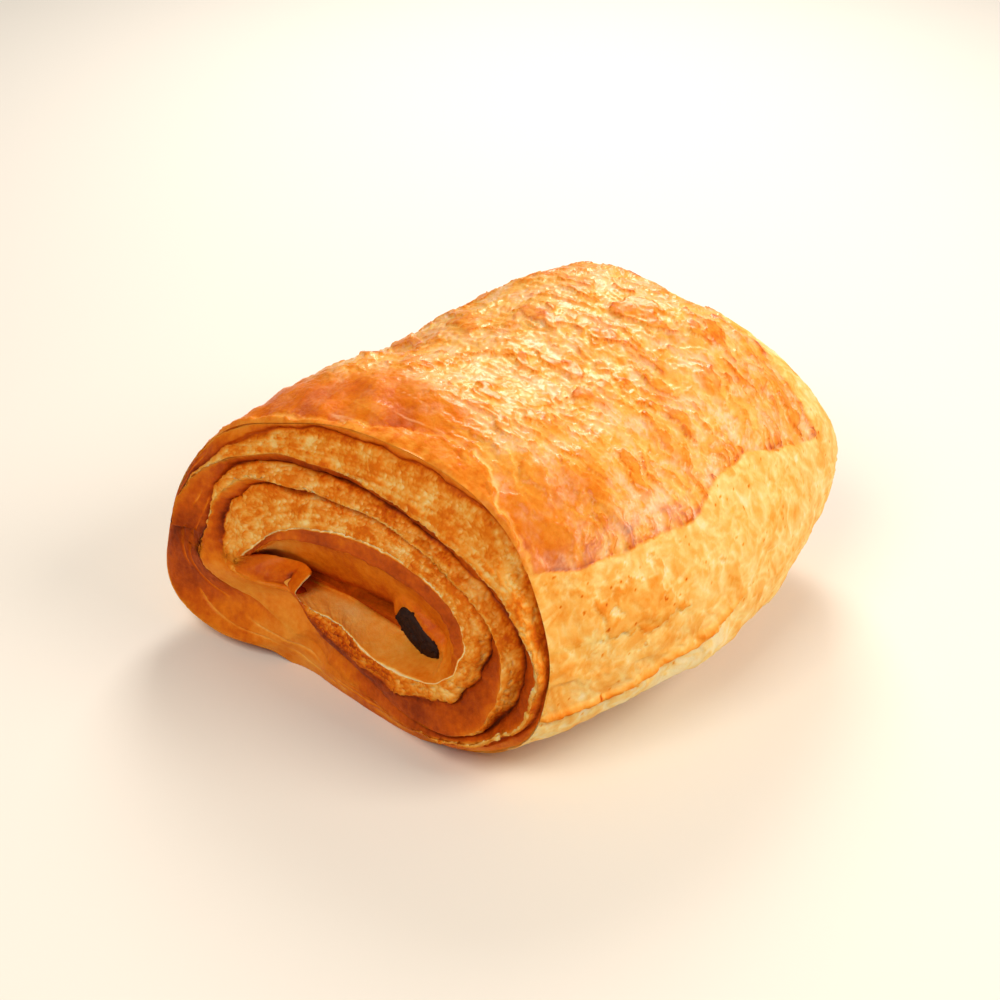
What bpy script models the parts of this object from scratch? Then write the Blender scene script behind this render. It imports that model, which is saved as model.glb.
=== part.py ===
"""Pain au chocolat: a sheet of laminated dough rolled up round a stick of dark chocolate and baked.

The roll lies along X on its flat underside, with Z up and the origin at the middle of its underside. Its
two cut ends face -X and +X and show the wraps of the sheet. Sizes are in millimetres until a mesh is made.
Across the roll, a place is given by a, towards -Y, and by b, its height.
"""

import math

import bmesh
import bpy
import numpy as np
from mathutils import Matrix, Vector

MM = 0.001

# The middle of the roll's box, in the drawing that the sizes below make, lies off the drawing's own origin.
BOX_MIDDLE = (-3.02, -3.93)

# Sections along the roll: place along X, reach towards -Y, reach towards +Y and height of the top.
SECTIONS = (
    (-46.0, 43.0, 41.0, 49.5),
    (-26.0, 49.0, 43.5, 52.5),
    (-4.0, 51.5, 43.0, 51.5),
    (14.0, 49.0, 41.5, 52.5),
    (30.0, 44.0, 39.0, 53.5),
    (42.0, 40.0, 35.5, 48.5),
    (50.0, 34.5, 30.5, 39.5),
)
SECTION_AXIS = (2.5, 22.0)
SIDE_ROUND = 2.25
SHOULDER_ROUND = 2.05
UNDERSIDE_ROUND = (3.1, 4.4)
FAR_UNDERSIDE_RISE = 5.0

# Swellings and dents of the skin: place along X, degrees round the roll from -Y over the top, height, spread
# along X and spread in degrees.
SKIN_LUMPS = (
    (-9.0, 128.0, -3.0, 8.0, 18.0),
    (12.0, 112.0, 1.5, 12.0, 24.0),
    (36.0, 118.0, 2.0, 8.0, 16.0),
    (6.0, -28.0, -5.5, 26.0, 10.0),
    (-50.0, 242.0, -2.0, 10.0, 9.0),
    (-44.0, 30.0, -3.2, 11.0, 22.0),
    (-46.0, 114.0, -2.4, 6.0, 16.0),
)

# A cut end's plane: place along X on the axis, lean of its top, turn of its -Y side.
END_MIDDLE = (0.0, 25.0)
NEAR_END = (-47.0, 0.34, 0.15)
FAR_END = (49.0, 0.23, 0.06)

# How far the edge of the outer skin lies behind a cut end's plane, by degrees round the roll.
NEAR_SETBACK = (
    (0, 2.0), (30, 1.2), (60, 1.2), (90, 1.0), (120, 1.5), (150, 2.5), (180, 2.0), (225, 3.0), (240, 4.5),
    (256, 8.5), (275, 7.0), (300, 5.0), (330, 3.5), (360, 2.0),
)
FAR_SETBACK = ((0, 2.5), (45, 6.0), (90, 8.5), (135, 6.0), (180, 2.5), (225, 6.0), (270, 8.0), (360, 2.5))

# The edge of the sheet on the near end, unwinding from its inner end: degrees, and distance from the wraps'
# axis with heights counted double. Each turn of the sheet runs under, right of, over and left of the axis.
WRAP_AXIS = (4.0, 22.0)
WRAP_FLATTENING = 0.5
INNER_END_ANGLE = 205.0
SHEET_EDGE = (
    (0, 19.2), (20, 12.8), (60, 12.8), (92, 19.0), (115, 23.0), (150, 23.2), (245, 21.2), (300, 21.9),
    (330, 23.8), (360, 29.3), (375, 21.5), (400, 24.2), (430, 29.0), (470, 37.2), (495, 33.0), (540, 29.4),
    (575, 27.5), (630, 29.0), (655, 37.0), (685, 35.2), (720, 36.0), (750, 31.0), (815, 39.0), (850, 39.0),
    (905, 35.6), (950, 36.5), (990, 42.5), (1030, 43.5), (1080, 43.0), (1440, 44.0),
)
TURNS = 3

# How far the tray presses the underside flat.
TRAY_PRESS = 1.0

# Relief of the cut ends: how far edges stand out, how deep the crumb sinks between them and where.
GROOVE_DEPTH = 3.2
GROOVE_PLACE = 0.64
FREE_END_DEGREES = (2.0, 12.0)
RIM_GROOVE_DEPTH = 1.2
RIM_ROUNDING = 1.7
FOLD_DEPTH = 7.5
NOTCH_DEPTH = 6.0
NOTCH_ANGLE = 46.0
NOTCH_SPREAD = 15.0

# The hollow at the heart of the roll, where the inner end of the sheet meets the wrap round it.
HEART_AXIS = (-4.0, 14.8)
HEART_HALF_WIDTH = 20.0
HEART_HALF_GAP = 1.0
HEART_RISE = 0.08
HEART_DEPTH = 10.0
FAR_RELIEF = 0.7
FAR_HEART_DEPTH_SHARE = 0.6

# The chocolate stick.
STICK_WIDTH = 11.2
STICK_THICKNESS = 5.4
STICK_ROUND = 1.3
STICK_AXIS = (12.0, 15.0)
STICK_TILT = math.radians(-18.0)
STICK_RECESS = 5.5
STICK_CLEARANCE = 0.3

# Mesh fineness: columns round the roll, and rings of each wrap as shares of its width.
COLUMNS = 96
HEART_SHARES = (0.0, 0.3, 0.6, 0.85)
WRAP_SHARES = (0.0, 0.2, 0.45, 0.66, 0.85)
FAR_WRAP_SHARES = (0.0, 0.4, 0.66)
BODY_RINGS = 22


def ease(x, low, high):
    """0 below low, 1 above high, and a smooth step between."""
    t = np.clip((x - low) / (high - low), 0.0, 1.0)
    return t * t * (3.0 - 2.0 * t)


def mix(first, second, share):
    return first + (second - first) * share


def curve_through(table, x):
    """Read the smooth curve through a table's rows, whose first number is the place, at every x."""
    table = np.array(table, dtype=float)
    places, values = table[:, 0], table[:, 1:]
    slopes = np.gradient(values, places, axis=0)
    i = np.clip(np.searchsorted(places, x, side="right") - 1, 0, len(places) - 2)
    width = (places[i + 1] - places[i])[..., None]
    t = np.clip((x[..., None] - places[i][..., None]) / width, 0.0, 1.0)
    from_low = values[i] * (1 + 2 * t) * (1 - t) ** 2 + slopes[i] * width * t * (1 - t) ** 2
    from_high = values[i + 1] * t * t * (3 - 2 * t) + slopes[i + 1] * width * t * t * (t - 1)
    return from_low + from_high


def outline(angle, right, left, top):
    """(a, b) of a section's outline: four quarters of a superellipse, flatter underneath."""
    c, s = np.cos(angle), np.sin(angle)
    middle_a, middle_b = SECTION_AXIS
    across = np.where(c >= 0, right - middle_a, left + middle_a)
    over = (top - middle_b) * np.abs(s) ** (2 / SHOULDER_ROUND)
    under = middle_b * np.abs(s) ** (2 / np.where(c >= 0, *UNDERSIDE_ROUND))
    a = middle_a + across * np.sign(c) * np.abs(c) ** (2 / SIDE_ROUND)
    return a, middle_b + np.where(s >= 0, over, -under)


def end_plane(end, a, b):
    """Place along X of the plane of a cut end."""
    at, lean, turn = end
    return at + lean * (b - END_MIDDLE[1]) + turn * (a - END_MIDDLE[0])


def rim(angle, end):
    """The edge of the outer skin at a cut end: (x, a, b)."""
    section = SECTIONS[0] if end is NEAR_END else SECTIONS[-1]
    a, b = outline(angle, *section[1:])
    if end is FAR_END:
        b = raise_underside(b, section[3], 1.0)
        return end_plane(end, a, b) - curve_through(FAR_SETBACK, np.degrees(angle))[..., 0], a, b
    x = end_plane(end, a, b) + curve_through(NEAR_SETBACK, np.degrees(angle))[..., 0]
    lift = skin_lift(x, angle)
    return x, a + lift * np.cos(angle), np.maximum(b + lift * np.sin(angle), 0.0)


def raise_underside(b, top, share):
    """Lift the underside where the roll rounds up to its far end, and leave the top as it is."""
    return b + FAR_UNDERSIDE_RISE * share * (1 - b / top)


def skin_lift(x, angle):
    """The swellings and dents of the skin at a place along X and an angle round the roll."""
    lift = 0.0
    for at, turn, height, spread, spread_angle in SKIN_LUMPS:
        away = np.mod(np.degrees(angle) - turn + 180.0, 360.0) - 180.0
        lift = lift + height * np.exp(-(((x - at) / spread) ** 2) - (away / spread_angle) ** 2)
    return lift


def body_ring(share, angle):
    """A ring of the skin between the two ends: (x, a, b)."""
    x = mix(rim(angle, NEAR_END)[0], rim(angle, FAR_END)[0], share)
    place = mix(SECTIONS[0][0], SECTIONS[-1][0], share) + 0 * angle
    right, left, top = np.moveaxis(curve_through(SECTIONS, place), -1, 0)
    a, b = outline(angle, right, left, top)
    b = raise_underside(b, top, ease(share, 0.72, 1.0))
    lift = skin_lift(x, angle) * (1 - ease(share, 0.92, 1.0))
    return x, a + lift * np.cos(angle), np.maximum(b + lift * np.sin(angle), 0.0)


def sheet_edges(unwound):
    """Distance from the wraps' axis to the edge of each turn of the sheet, and to the one before it."""
    return [curve_through(SHEET_EDGE, unwound + 360.0 * turn)[..., 0] for turn in range(TURNS)]


def wraps_polar(a, b):
    """Degrees unwound from the sheet's inner end, and distance from the wraps' axis."""
    across, up = a - WRAP_AXIS[0], (b - WRAP_AXIS[1]) / WRAP_FLATTENING
    return np.mod(np.degrees(np.arctan2(up, across)) - INNER_END_ANGLE, 360.0), np.hypot(across, up)


def wraps_place(unwound, distance):
    """(a, b) of a place given in degrees unwound and distance from the wraps' axis."""
    turned = np.radians(unwound + INNER_END_ANGLE)
    a = WRAP_AXIS[0] + distance * np.cos(turned)
    return a, WRAP_AXIS[1] + distance * np.sin(turned) * WRAP_FLATTENING


def groove(share):
    """Depth across one wrap, from 0 to 1: down its crumb from the inner edge, then up the skin to the next."""
    down = np.clip(share / GROOVE_PLACE, 0.0, 1.0) ** 1.3
    up = np.clip((1 - share) / (1 - GROOVE_PLACE), 0.0, 1.0) ** 0.8
    return np.minimum(down, up)


def relief(unwound, distance, rim_distance, rim_height):
    """How far the wraps stand out of the plane of a cut end."""
    edges = sheet_edges(unwound)
    edges.append(np.maximum(rim_distance, edges[-1] + 1.0))
    free_end = ease(unwound, *FREE_END_DEGREES)
    notch = NOTCH_DEPTH * np.exp(-(((unwound - NOTCH_ANGLE) / NOTCH_SPREAD) ** 2))
    crests = [-FOLD_DEPTH * (1 - free_end), -0.4 * FOLD_DEPTH * (1 - free_end), -notch, rim_height]
    on_lobe = 1 - ease(unwound, 70.0, 110.0)
    depths = [
        GROOVE_DEPTH * free_end * (1 - ease(unwound, 320.0, 360.0)),
        GROOVE_DEPTH * (1 + 0.4 * on_lobe),
        RIM_GROOVE_DEPTH * (1 - on_lobe),
    ]
    result = crests[0] + 0 * distance
    for i in range(TURNS):
        share = np.clip((distance - edges[i]) / (edges[i + 1] - edges[i]), 0.0, 1.0)
        fall = share if i < TURNS - 1 else share**RIM_ROUNDING
        band = mix(crests[i], crests[i + 1], fall) - depths[i] * groove(share)
        result = np.where(distance > edges[i], band, result)
    return result


def end_ring(place, angle, end):
    """A ring of a cut end, from the first edge of the sheet (1) to the rim (4): (x, a, b)."""
    rim_x, rim_a, rim_b = rim(angle, end)
    near_a, near_b = rim(angle, NEAR_END)[1:]
    unwound, rim_distance = wraps_polar(near_a, near_b)
    edges = sheet_edges(unwound)
    following = edges[1:] + [rim_distance]
    shifted = 1 - ease(unwound, 0.0, FREE_END_DEGREES[1])
    tracks = [mix(edge, after, shifted) for edge, after in zip(edges, following)] + [rim_distance]
    turn = min(int(place), TURNS) - 1
    distance = mix(tracks[turn], tracks[turn + 1], place - turn - 1)
    a, b = wraps_place(unwound, distance)
    near_x = rim(angle, NEAR_END)[0]
    rim_height = end_plane(NEAR_END, near_a, near_b) - near_x
    out = relief(unwound, distance, rim_distance, rim_height)
    if end is NEAR_END:
        return end_plane(end, a, b) - out, a, b
    a, b = far_place(a, b)
    behind_rim = end_plane(end, *far_place(near_a, near_b)) - rim_x
    out = FAR_RELIEF * out - (behind_rim + FAR_RELIEF * rim_height) * ease(distance / rim_distance, 0.5, 1.0)
    return end_plane(end, a, b) + out, a, b


def far_place(a, b):
    """Where a place on the near end comes to lie on the far end, which is smaller."""
    near_right, near_left, near_top = SECTIONS[0][1:]
    right, left, top = SECTIONS[-1][1:]
    middle = SECTION_AXIS[0]
    across = np.where(a >= middle, (right - middle) / (near_right - middle), (left + middle) / (near_left + middle))
    b = b * (top - FAR_UNDERSIDE_RISE) / near_top + FAR_UNDERSIDE_RISE
    return middle + (a - middle) * across, b


def heart_ring(share, angle, end):
    """A ring of the hollow, from its floor (0) to the first edge of the sheet (1): (x, a, b)."""
    edge_x, edge_a, edge_b = end_ring(1.0, angle, NEAR_END)
    floor_a = HEART_AXIS[0] + HEART_HALF_WIDTH * np.cos(angle)
    floor_b = HEART_AXIS[1] + HEART_HALF_GAP * np.sin(angle) + HEART_RISE * (floor_a - HEART_AXIS[0])
    a, b = mix(floor_a, edge_a, share), mix(floor_b, edge_b, share)
    edge_out = end_plane(NEAR_END, edge_a, edge_b) - edge_x
    out = mix(-HEART_DEPTH, edge_out, share**0.85)
    if end is NEAR_END:
        return end_plane(end, a, b) - out, a, b
    a, b = far_place(a, b)
    return end_plane(end, a, b) + out * FAR_HEART_DEPTH_SHARE, a, b


def pastry_rings():
    """Every ring of the pastry from the near heart to the far heart, as (function, share or place, end)."""
    near_heart = [(heart_ring, share, NEAR_END) for share in HEART_SHARES]
    wraps = [turn + share for turn in range(1, TURNS + 1) for share in WRAP_SHARES]
    far_wraps = [turn + share for turn in range(1, TURNS + 1) for share in FAR_WRAP_SHARES]
    near_end = [(end_ring, place, NEAR_END) for place in wraps]
    far_end = [(end_ring, place, FAR_END) for place in [TURNS + 1.0, *reversed(far_wraps)]]
    far_heart = [(heart_ring, share, FAR_END) for share in reversed(HEART_SHARES)]
    body = [(body_ring, i / BODY_RINGS, None) for i in range(BODY_RINGS)]
    return near_heart + near_end + body + far_end + far_heart


def press_flat(b):
    """Press the lowest part of the roll flat, as the tray does."""
    return np.where(b < 2 * TRAY_PRESS, np.maximum(2 * (b - TRAY_PRESS), 0.0), b)


def framed(x, a, b):
    """A place of the drawing, in millimetres, as X, Y and Z in metres from the middle of the box's underside."""
    return np.stack([x - BOX_MIDDLE[0], -a - BOX_MIDDLE[1], b], axis=-1) * MM


def column_angles(columns):
    """Angles round the roll that share its outline into equal lengths."""
    fine = np.linspace(0.0, 2 * math.pi, 1441)
    a, b = outline(fine, *SECTIONS[0][1:])
    length = np.append(0.0, np.cumsum(np.hypot(np.diff(a), np.diff(b))))
    return np.interp(np.arange(columns) / columns * length[-1], length, fine)


def ring_points(columns):
    """Points of every ring of the pastry, in metres: rings by columns by three."""
    angle = column_angles(columns)
    points = []
    for make, share, end in pastry_rings():
        x, a, b = make(share, angle) if end is None else make(share, angle, end)
        points.append(framed(x, a, press_flat(b)))
    return np.array(points)


def link(name, mesh, collection):
    obj = bpy.data.objects.new(name, mesh)
    collection.objects.link(obj)
    return obj


def make_pastry(collection):
    """A sphere whose poles are drawn in to the two hearts and whose rings become the rings of the roll."""
    points = ring_points(COLUMNS)
    rings = len(points)
    mesh = bpy.data.meshes.new("pastry")
    bm = bmesh.new()
    bmesh.ops.create_uvsphere(bm, u_segments=COLUMNS, v_segments=rings + 1, radius=1.0)
    for vert in bm.verts:
        from_pole = math.acos(max(-1.0, min(1.0, vert.co.z))) / math.pi
        row = round(from_pole * (rings + 1)) - 1
        column = round(math.atan2(vert.co.y, vert.co.x) / (2 * math.pi) * COLUMNS) % COLUMNS
        if 0 <= row < rings:
            vert.co = points[row, column]
        else:
            vert.co = points[0 if row < 0 else -1].mean(axis=0)
    bmesh.ops.recalc_face_normals(bm, faces=bm.faces)
    bm.to_mesh(mesh)
    bm.free()
    mesh.shade_smooth()
    return link("pastry", mesh, collection)


def make_stick(name, grow, ends, collection):
    """The stick of chocolate from one x to another, grown all round when it serves as a cutter."""
    size = ((ends[1] - ends[0]) * MM, (STICK_WIDTH + 2 * grow) * MM, (STICK_THICKNESS + 2 * grow) * MM)
    middle = framed((ends[0] + ends[1]) / 2, *STICK_AXIS)
    turn = Matrix.Rotation(-STICK_TILT, 4, "X")
    mesh = bpy.data.meshes.new(name)
    bm = bmesh.new()
    bmesh.ops.create_cube(bm, size=1.0, matrix=Matrix.LocRotScale(Vector(middle), turn.to_quaternion(), size))
    bm.to_mesh(mesh)
    bm.free()
    stick = link(name, mesh, collection)
    bevel = stick.modifiers.new("worn corners", "BEVEL")
    bevel.width = (STICK_ROUND + grow) * MM
    bevel.segments = 3
    return stick


def cut_channel(pastry, cutter):
    cut = pastry.modifiers.new("channel", "BOOLEAN")
    cut.operation = "DIFFERENCE"
    cut.object = cutter
    cut.solver = "EXACT"


def material(name, colour, roughness, coat):
    made = bpy.data.materials.new(name)
    made.use_nodes = True
    shader = made.node_tree.nodes["Principled BSDF"]
    shader.inputs["Base Color"].default_value = (*colour, 1.0)
    shader.inputs["Roughness"].default_value = roughness
    shader.inputs["Metallic"].default_value = 0.0
    shader.inputs["Coat Weight"].default_value = coat
    return made


def main():
    for obj in list(bpy.data.objects):
        bpy.data.objects.remove(obj)
    parts = bpy.data.collections.new("pain au chocolat")
    helpers = bpy.data.collections.new("cutters")
    bpy.context.scene.collection.children.link(parts)
    bpy.context.scene.collection.children.link(helpers)

    pastry = make_pastry(parts)
    near, far = end_plane(NEAR_END, *STICK_AXIS), end_plane(FAR_END, *STICK_AXIS)
    stick = make_stick("chocolate_stick", 0.0, (near + STICK_RECESS, far - STICK_RECESS), parts)
    channel = make_stick("channel", STICK_CLEARANCE, (near - 30.0, far + 30.0), helpers)
    channel.hide_render = True
    channel.display_type = "WIRE"
    cut_channel(pastry, channel)

    pastry.data.materials.append(material("baked laminated dough", (0.72, 0.33, 0.08), 0.4, 0.3))
    stick.data.materials.append(material("dark chocolate", (0.033, 0.012, 0.006), 0.55, 0.0))


main()
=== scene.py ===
"""The looks of a pain au chocolat: a sheet of laminated dough rolled up round a stick of chocolate and baked."""

import itertools
import math

import bpy
import numpy as np
from mathutils import Matrix, Vector


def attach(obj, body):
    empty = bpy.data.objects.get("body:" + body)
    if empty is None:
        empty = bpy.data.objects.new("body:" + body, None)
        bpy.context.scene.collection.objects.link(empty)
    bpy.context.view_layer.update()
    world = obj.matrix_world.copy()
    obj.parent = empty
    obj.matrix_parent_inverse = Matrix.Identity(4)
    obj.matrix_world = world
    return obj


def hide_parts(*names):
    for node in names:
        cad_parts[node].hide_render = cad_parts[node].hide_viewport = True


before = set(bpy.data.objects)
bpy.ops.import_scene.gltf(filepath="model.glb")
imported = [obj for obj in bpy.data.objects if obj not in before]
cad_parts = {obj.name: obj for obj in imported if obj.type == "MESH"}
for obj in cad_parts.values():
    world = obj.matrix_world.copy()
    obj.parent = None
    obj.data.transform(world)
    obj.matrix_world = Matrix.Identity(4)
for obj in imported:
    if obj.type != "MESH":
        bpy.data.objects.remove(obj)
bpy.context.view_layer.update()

# The camera looks down on the cut end and the pale long side from about a forearm away, as the photo does.
# Its place is given in the roll's own drawing, in millimetres: x along the roll, y across it, z up. The packed
# model has its origin at the middle of its box, which lies a little off the drawing's own origin.
MM = 0.001
BOX_MIDDLE = Vector((-3.02, -3.93, 0.0))
VIEW_CENTRE = Vector((-10.0, -2.0, 24.0))
VIEW_AZIMUTH = math.radians(-45.0)
VIEW_ELEVATION = math.radians(35.0)
VIEW_DISTANCE = 320.0
FILM_WIDTH = 36.0
FOCAL_LENGTH = 62.82


def drawn(place):
    """A place in the roll's drawing, in millimetres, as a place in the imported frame, in metres."""
    return (Vector(place) - BOX_MIDDLE) * MM


def aim(obj, place, target):
    """Put a camera or a light at a place and point it at a target."""
    away = drawn(place) - drawn(target)
    obj.matrix_world = Matrix.LocRotScale(drawn(place), away.to_track_quat("Z", "Y"), None)


towards_camera = Vector(
    (
        math.sin(VIEW_AZIMUTH) * math.cos(VIEW_ELEVATION),
        -math.cos(VIEW_AZIMUTH) * math.cos(VIEW_ELEVATION),
        math.sin(VIEW_ELEVATION),
    )
)
bpy.ops.object.camera_add()
camera = bpy.context.object
camera.name = "camera"
camera.data.sensor_width = FILM_WIDTH
camera.data.lens = FOCAL_LENGTH
camera.data.clip_start = 0.01
aim(camera, VIEW_CENTRE + towards_camera * VIEW_DISTANCE, VIEW_CENTRE)
bpy.context.scene.camera = camera
bpy.context.scene.view_settings.view_transform = "Standard"

# The table and the light: a pale matte table top of painted board in a bright room, with a soft window behind the
# roll and to its right, a larger one beside it and the light of the room from the camera's left.
LIGHTS = (
    # name, place, size, watts, colour
    ("window behind", (260.0, 230.0, 300.0), 160.0, 1.3, "#FFF6EA"),
    ("window beside", (190.0, -320.0, 320.0), 200.0, 1.45, "#FFF3E2"),
    ("room light", (-300.0, -60.0, 420.0), 240.0, 1.25, "#FFF1DF"),
)
ROOM_BRIGHTNESS = 0.24
TABLE_WIDTH = 6.0
CLOUDS_PER_METRE = 9.0


def linear(code):
    """The linear colour of an sRGB hex value."""
    parts = [int(code[i : i + 2], 16) / 255 for i in (1, 3, 5)]
    return tuple(c / 12.92 if c <= 0.04045 else ((c + 0.055) / 1.055) ** 2.4 for c in parts) + (1.0,)


def add_node(tree, kind, links=None, stops=None, **settings):
    """Add a node with its settings; links gives each input a value or another node's output."""
    made = tree.nodes.new(kind)
    for name, value in settings.items():
        setattr(made, name, value)
    for name, value in (links or {}).items():
        if isinstance(value, bpy.types.NodeSocket):
            tree.links.new(value, made.inputs[name])
        else:
            made.inputs[name].default_value = value
    for i, (place, colour) in enumerate(stops or ()):
        element = made.color_ramp.elements[i] if i < 2 else made.color_ramp.elements.new(place)
        element.position = place
        element.color = linear(colour)
    return made


def new_material(name):
    """A new material with its node tree and its one shader."""
    made = bpy.data.materials.new(name)
    made.use_nodes = True
    return made, made.node_tree, made.node_tree.nodes["Principled BSDF"]


for name, place, size, watts, colour in LIGHTS:
    bpy.ops.object.light_add(type="AREA")
    light = bpy.context.object
    light.name = name
    light.data.size = size * MM
    light.data.energy = watts
    light.data.color = linear(colour)[:3]
    aim(light, place, VIEW_CENTRE)
world = bpy.data.worlds.new("bright room")
bpy.context.scene.world = world
world.use_nodes = True
world.node_tree.nodes["Background"].inputs["Color"].default_value = linear("#FFF7EE")
world.node_tree.nodes["Background"].inputs["Strength"].default_value = ROOM_BRIGHTNESS

bpy.ops.mesh.primitive_plane_add(size=TABLE_WIDTH)
table = bpy.context.object
table.name = "table_top"
# Matte paint: even and pale, with no gloss.
paint, tree, shader = new_material("matte pale paint")
cloud = add_node(tree, "ShaderNodeTexNoise", {"Scale": CLOUDS_PER_METRE, "Detail": 3.0})
tone = add_node(tree, "ShaderNodeValToRGB", {"Fac": cloud.outputs["Fac"]}, [(0.0, "#E9E6E1"), (1.0, "#EFEDE8")])
tree.links.new(tone.outputs["Color"], shader.inputs["Base Color"])
shader.inputs["Roughness"].default_value = 0.8
table.data.materials.append(paint)

# The roll: one sheet of laminated dough, wound nearly three times round the stick of chocolate. Baking swells
# it into a loaf that lies flat on the tray. Its skin is drawn as sections along the roll, and each cut end as
# the edge of the sheet unwinding from its inner end. Across the roll, a is towards -Y and b is the height.
SECTIONS = (
    # place along X, reach towards -Y, reach towards +Y, height of the top
    (-46.0, 43.0, 41.0, 49.5),
    (-26.0, 49.0, 43.5, 52.5),
    (-4.0, 51.5, 43.0, 51.5),
    (14.0, 49.0, 41.5, 52.5),
    (30.0, 44.0, 39.0, 53.5),
    (42.0, 40.0, 35.5, 48.5),
    (50.0, 34.5, 30.5, 39.5),
)
SECTION_AXIS = (2.5, 22.0)
SIDE_ROUND = 2.25
SHOULDER_ROUND = 2.05
UNDERSIDE_ROUND = (3.1, 4.4)
FAR_UNDERSIDE_RISE = 5.0
SKIN_LUMPS = (
    # place along X, degrees round the roll from -Y over the top, height, spread along X, spread in degrees
    (-9.0, 128.0, -3.0, 8.0, 18.0),
    (12.0, 112.0, 1.5, 12.0, 24.0),
    (36.0, 118.0, 2.0, 8.0, 16.0),
    (6.0, -28.0, -5.5, 26.0, 10.0),
    (-50.0, 242.0, -2.0, 10.0, 9.0),
    (-44.0, 30.0, -3.2, 11.0, 22.0),
    (-46.0, 114.0, -2.4, 6.0, 16.0),
)
# Each cut end is a plane: its place along X, and how far it leans with height and turns with a.
END_MIDDLE = (0.0, 25.0)
NEAR_END = (-47.0, 0.34, 0.15)
FAR_END = (49.0, 0.23, 0.06)
# The rim of each end lies behind that plane, by a distance that changes with the degrees round the roll.
NEAR_SETBACK = (
    (0, 2.0), (30, 1.2), (60, 1.2), (90, 1.0), (120, 1.5), (150, 2.5), (180, 2.0), (225, 3.0), (240, 4.5),
    (256, 8.5), (275, 7.0), (300, 5.0), (330, 3.5), (360, 2.0),
)
FAR_SETBACK = ((0, 2.5), (45, 6.0), (90, 8.5), (135, 6.0), (180, 2.5), (225, 6.0), (270, 8.0), (360, 2.5))
# The edge of the sheet unwinds round an axis, flattened in height, once for each turn of the sheet.
WRAP_AXIS = (4.0, 22.0)
WRAP_FLATTENING = 0.5
INNER_END_ANGLE = 185.0
SHEET_EDGE = (
    # degrees unwound from the inner end, distance from the wraps' axis
    (0, 15.0), (12, 14.2), (24, 13.6), (36, 12.8), (52, 11.0), (65, 9.8), (80, 10.0), (95, 12.4), (112, 17.6),
    (135, 22.6), (170, 23.2), (265, 21.2), (320, 21.9), (350, 23.8), (364, 26.4), (373, 27.4), (381, 25.0),
    (389, 21.8), (397, 21.6), (420, 24.2), (450, 29.0), (490, 37.2), (515, 33.0), (560, 29.4), (595, 28.0),
    (620, 29.8), (650, 32.0), (675, 37.0), (705, 35.2), (740, 36.0), (770, 31.0), (835, 39.0), (870, 39.0),
    (925, 35.6), (970, 36.5), (1010, 42.5), (1050, 43.5), (1100, 43.0), (1440, 44.0),
)
TURNS = 3
EDGE_WANDER = 0.55
# The inner end of the sheet is a tongue: where it starts, how it folds back, and the notch in the wrap under it.
FREE_END_DEGREES = (2.0, 24.0)
TONGUE_CRUMB_DEGREES = (26.0, 48.0)
FOLD_DEPTH = 7.5
NOTCH_DEPTH = 6.0
NOTCH_ANGLE = 66.0
NOTCH_SPREAD = 15.0
TONGUE_ROLL_BACK = 4.5
# The hollow at the heart: a slit that rises a little towards -Y, with the stick of chocolate at its end.
HEART_AXIS = (-4.0, 16.0)
HEART_HALF_WIDTH = 20.0
HEART_HALF_GAP = 1.0
HEART_RISE = 0.04
HEART_DEPTH = 10.0
STICK_MIDDLE = (13.6, 17.1)
STICK_HALF = (5.4, 2.7)
STICK_TILT = math.radians(-31.0)
STICK_RECESS = (5.5, 5.5)
STICK_CORNER = 4.5
STICK_STANDS_OUT = 0.7
# The far end has the near end's pattern, shallower.
FAR_RELIEF = 0.7

# What each wrap is like, unwinding from its inner end. The open crumb is a share of its width, outwards from its
# inner edge, and the rest is the smooth skin of the wrap outside it, which dips into the gap between the two.
# Some skins of the near end that face up are given a paler skin bake than their browning gives: painted light.
WRAP_LOOK = (
    # degrees unwound, share of crumb, depth of the gap, raggedness of the edge, how far baked the skin is
    (0, 0.18, 0.0, 0.0, 0.60), (10, 0.24, 0.6, 0.0, 0.60), (20, 0.40, 2.4, 0.0, 0.64),
    (32, 0.66, 3.4, 0.4, 0.70), (40, 0.74, 2.4, 1.0, 0.74), (52, 0.62, 0.8, 1.2, 0.76),
    (70, 0.60, 0.3, 1.2, 0.77), (100, 0.56, 0.3, 1.0, 0.77),
    (130, 0.42, 0.6, 0.3, 0.72), (170, 0.40, 2.0, 0.3, 0.74), (220, 0.76, 2.4, 0.8, 0.70),
    (265, 0.80, 2.2, 1.3, 0.60), (320, 0.80, 1.8, 1.0, 0.66), (350, 0.76, 1.2, 0.8, 0.72),
    (366, 0.40, 0.3, 0.2, 0.60), (382, 0.0, 0.0, 0.0, 0.50), (420, 0.0, 0.0, 0.0, 0.52),
    (460, 0.0, 0.2, 0.0, 0.70), (490, 0.26, 1.4, 0.1, 0.72), (535, 0.36, 2.6, 0.5, 0.72),
    (565, 0.34, 2.6, 0.6, 0.72), (605, 0.34, 2.2, 0.8, 0.70), (632, 0.46, 2.2, 1.2, 0.72),
    (655, 0.55, 2.2, 1.2, 0.74), (675, 0.60, 1.8, 1.2, 0.66), (690, 0.34, 1.4, 1.0, 0.62),
    (710, 0.10, 1.2, 0.8, 0.76), (740, 0.0, 0.4, 0.4, 0.76), (780, 0.0, 0.0, 0.0, 0.50),
    (815, 0.10, 0.4, 0.2, 0.62), (850, 0.30, 1.4, 0.8, 0.60), (895, 0.42, 1.8, 1.0, 0.58),
    (925, 0.66, 1.8, 1.0, 0.56), (945, 0.86, 1.4, 1.0, 0.50), (962, 0.82, 1.0, 1.0, 0.58),
    (985, 0.76, 1.0, 1.0, 0.58), (1000, 0.78, 1.0, 1.0, 0.58), (1012, 0.78, 1.0, 1.0, 0.58),
    (1032, 0.45, 0.9, 1.0, 0.60), (1058, 0.08, 0.6, 0.6, 0.76), (1100, 0.0, 0.3, 0.2, 0.80),
)
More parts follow.
